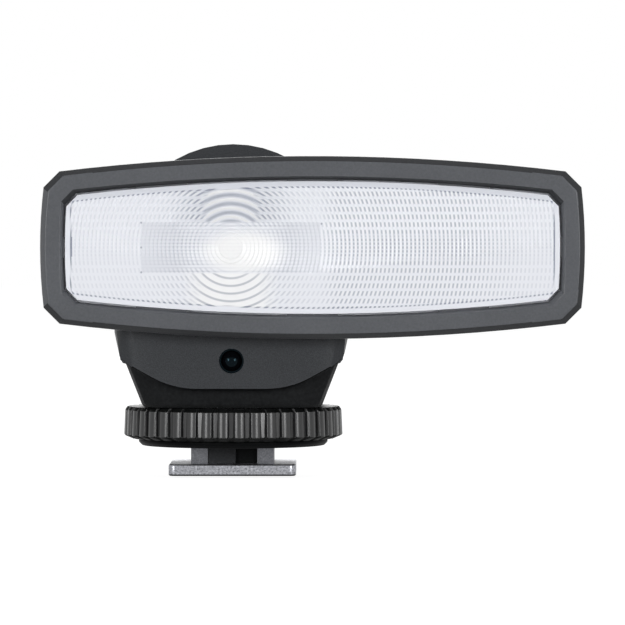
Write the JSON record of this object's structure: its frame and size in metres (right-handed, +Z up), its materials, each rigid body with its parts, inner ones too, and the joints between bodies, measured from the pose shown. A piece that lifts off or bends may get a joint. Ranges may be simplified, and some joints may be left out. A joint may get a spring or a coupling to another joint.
{
  "type": "camera flash",
  "caption": "Compact camera flash with a wide ribbed lens in a bevelled head, a neck with a light sensor, a ribbed locking ring and a metal shoe foot.",
  "frame": {"origin": "centre of the underside of the shoe foot", "axes": "+X to the right as seen from the front, front faces -Y, +Z up"},
  "size_m": [0.078, 0.0379, 0.0489],
  "materials": {
    "black_plastic": "fine spark-eroded texture, satin",
    "dark_plastic": "satin",
    "ring_plastic": "semi-gloss",
    "white_plastic": "satin",
    "button_plastic": "semi-gloss",
    "clear_lens": "moulded clear acrylic with grooves",
    "tube_glass": "clear",
    "dark_window": "polished",
    "lamp_plastic": "polished, translucent",
    "black_rubber": "matt",
    "bright_metal": "polished",
    "foot_metal": "fine blasted",
    "black_metal": "satin black",
    "contact_brass": "gold plated",
    "spring_steel": "bright",
    "port_steel": "bright",
    "screw_steel": "black zinc",
    "board_green": "solder resist",
    "coil_wrap": "amber tape",
    "capacitor_sleeve": "shrink sleeve",
    "cell_foil": "foil"
  },
  "bodies": {
    "housing": {"front_bezel": "black_plastic", "front_lens": "clear_lens", "light_tray": "white_plastic", "reflector": "bright_metal", "flash_tube": "tube_glass", "tube_end_caps": "black_rubber", "head_case": "black_plastic", "neck_front_cover": "black_plastic", "rear_cover": "black_plastic", "neck_base": "black_plastic", "threaded_sleeve": "dark_plastic", "shoe_foot": "foot_metal", "foot_core": "dark_plastic", "contact_insulator": "dark_plastic", "contact_spring": "spring_steel", "foot_bracket": "foot_metal", "foot_screws": "screw_steel", "sensor_window": "dark_window", "sensor_holder": "dark_plastic", "light_sensor": "dark_window", "rotary_switch_body": "dark_plastic", "slide_switch_body": "bright_metal", "test_switch": "dark_plastic", "ready_lamp": "lamp_plastic", "usb_port": "port_steel", "sync_socket": "port_steel", "main_board": "board_green", "transformer": "dark_plastic", "trigger_coil": "coil_wrap", "main_capacitor": "capacitor_sleeve", "battery_cell": "cell_foil", "case_screws": "screw_steel"},
    "pressure_plate": {"pressure_plate": "black_metal"},
    "lock_ring": {"lock_ring": "ring_plastic"},
    "power_dial": {"power_dial": "dark_plastic"},
    "test_button": {"test_button": "button_plastic"},
    "power_slider": {"power_slider": "dark_plastic"},
    "contact_pin": {"contact_pin": "contact_brass"}
  },
  "joints": [
    {"name": "plate_press", "type": "slide", "parent": "housing", "child": "pressure_plate", "axis": [0, 0, -1], "range_m": [0, 0.00125]},
    {"name": "ring_turn", "type": "hinge", "parent": "pressure_plate", "child": "lock_ring", "pos_m": [0, 0, 0.0072], "axis": [0, 0, -1], "range_deg": [0, 450]},
    {"name": "dial_turn", "type": "hinge", "parent": "housing", "child": "power_dial", "pos_m": [0, 0.0155, 0.0316], "axis": [0, -1, 0], "range_deg": [0, 270]},
    {"name": "button_press", "type": "slide", "parent": "housing", "child": "test_button", "axis": [0, -1, 0], "range_m": [0, 0.0006], "stiffness_N_per_m": 400},
    {"name": "power_slide", "type": "slide", "parent": "housing", "child": "power_slider", "axis": [1, 0, 0], "range_m": [0, 0.0032]},
    {"name": "pin_press", "type": "slide", "parent": "housing", "child": "contact_pin", "axis": [0, 0, 1], "range_m": [0, 0.0003], "stiffness_N_per_m": 300, "deforming": ["contact_spring"]}
  ],
  "couplings": [
    {"joint": "ring_turn", "follows": "plate_press", "rad_per_m": 6283.2}
  ]
}
